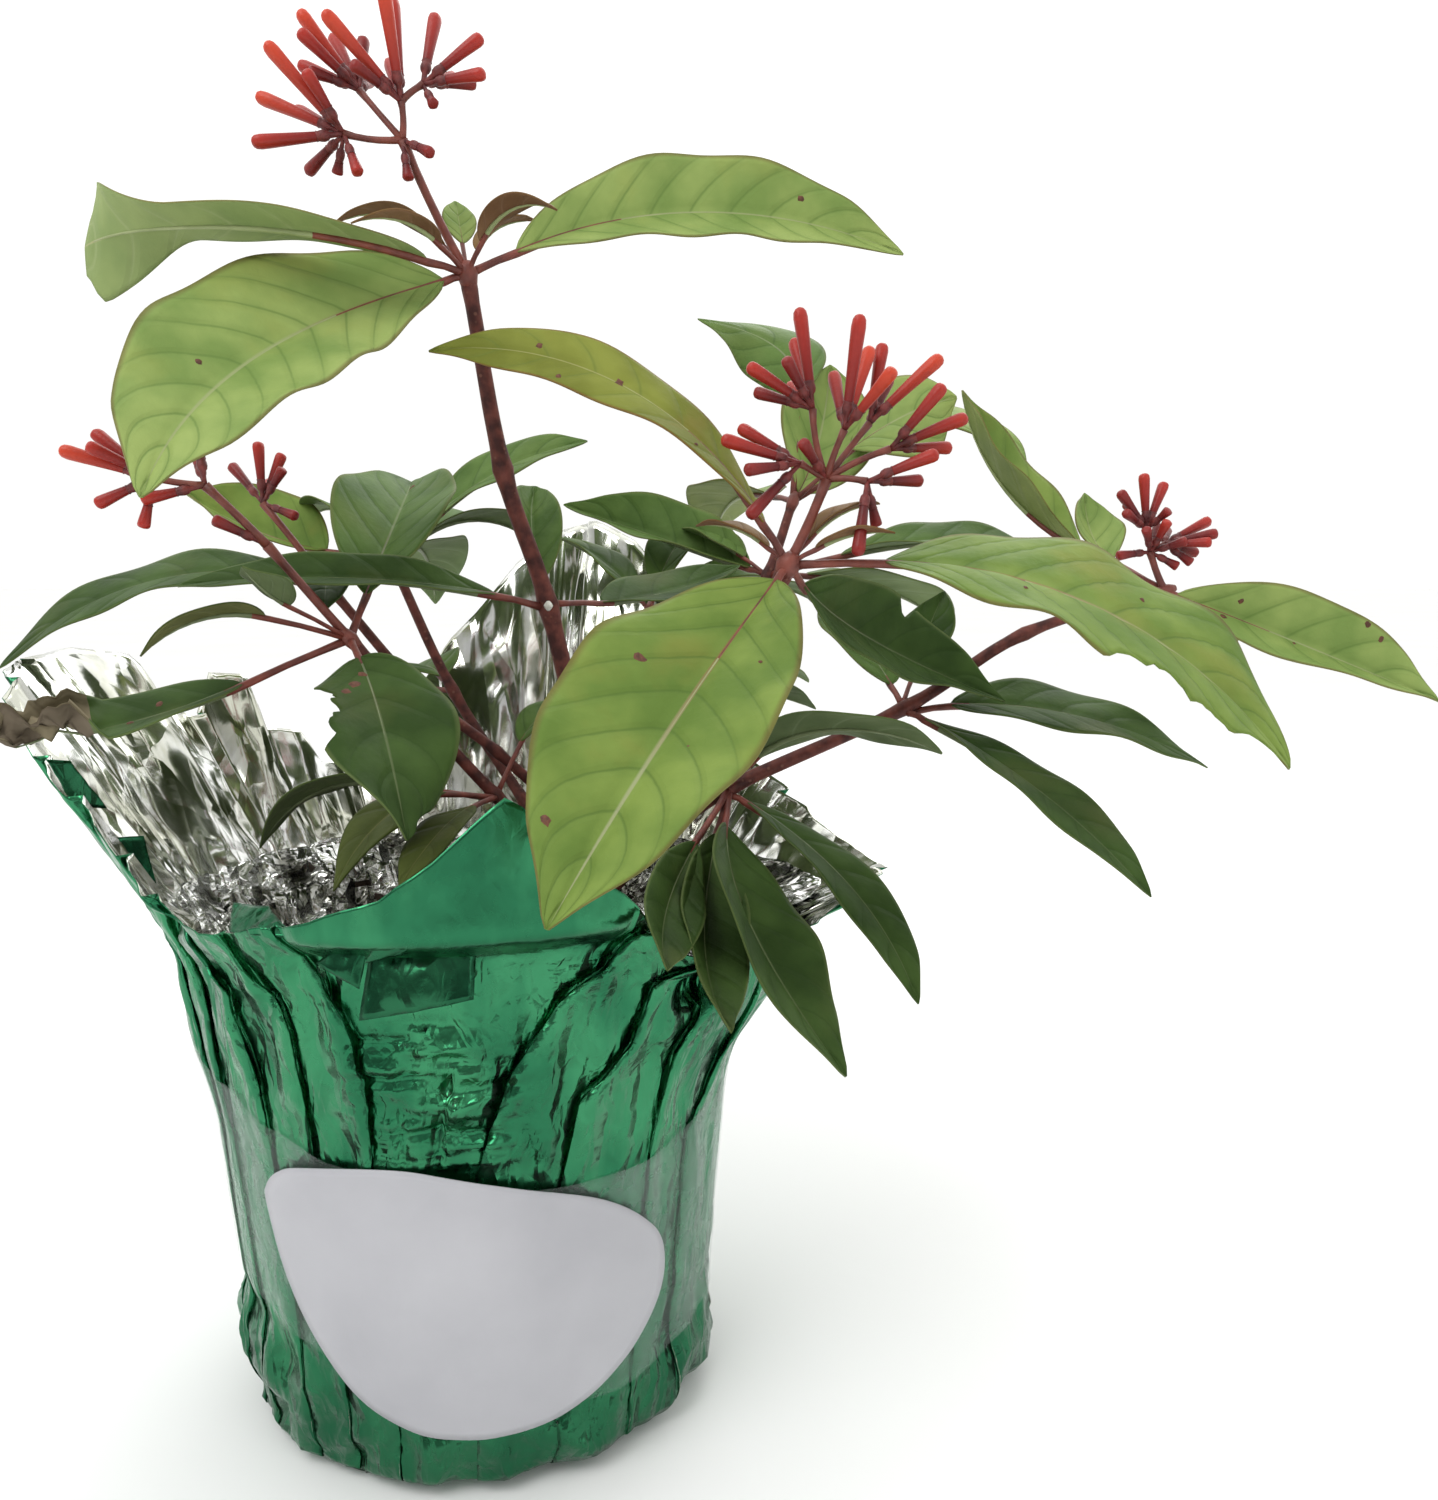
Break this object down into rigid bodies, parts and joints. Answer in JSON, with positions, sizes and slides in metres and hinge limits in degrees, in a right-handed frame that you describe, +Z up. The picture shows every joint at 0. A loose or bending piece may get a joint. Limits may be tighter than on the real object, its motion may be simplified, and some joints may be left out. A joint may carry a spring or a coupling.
{
  "type": "potted flowering shrub",
  "caption": "Young flowering shrub with arching stems, broad veined leaves and red tubular flowers, in a round nursery pot wrapped in pleated green foil with a bare label.",
  "frame": {"origin": "middle of the foil cover's flat underside, on the floor", "axes": "+Z up, -Y towards the front with the label, +X to the plant's right seen from the front"},
  "size_m": [0.3654, 0.2542, 0.3318],
  "materials": {
    "green_foil": "metallised film, emerald green outside and silver inside, pleated and crinkled",
    "black_plastic": "moulded black plastic",
    "potting_mix": "moist dark potting mix",
    "clear_tape": "clear, slightly frosted tape",
    "bare_label": "matt cool white paper, nothing printed on it",
    "bark": "smooth maroon brown young bark",
    "young_leaves": "soft yellow green leaves with sunken veins",
    "old_leaves": "dark green leaves with a low sheen"
  },
  "bodies": {
    "root": {"foil_cover": "green_foil", "nursery_pot": "black_plastic", "potting_soil": "potting_mix", "clear_band": "clear_tape", "bare_label": "bare_label", "main_stem": "bark", "left_front_stem": "bark", "left_back_stem": "bark", "right_front_stem": "bark", "right_back_stem": "bark", "right_stem": "bark", "back_left_stem": "bark", "back_stem": "bark", "top_leaves_and_flowers": "young_leaves", "middle_leaves": "old_leaves", "left_front_leaves_and_flowers": "old_leaves", "left_back_leaves_and_flowers": "old_leaves", "right_front_leaves_and_flowers": "young_leaves", "right_back_low_leaves": "old_leaves", "right_back_leaves": "young_leaves", "right_low_leaves": "old_leaves", "right_middle_leaves": "old_leaves", "right_end_leaves_and_flowers": "young_leaves", "back_left_leaves": "old_leaves", "back_leaves": "old_leaves", "inner_leaves": "old_leaves"}
  },
  "joints": []
}
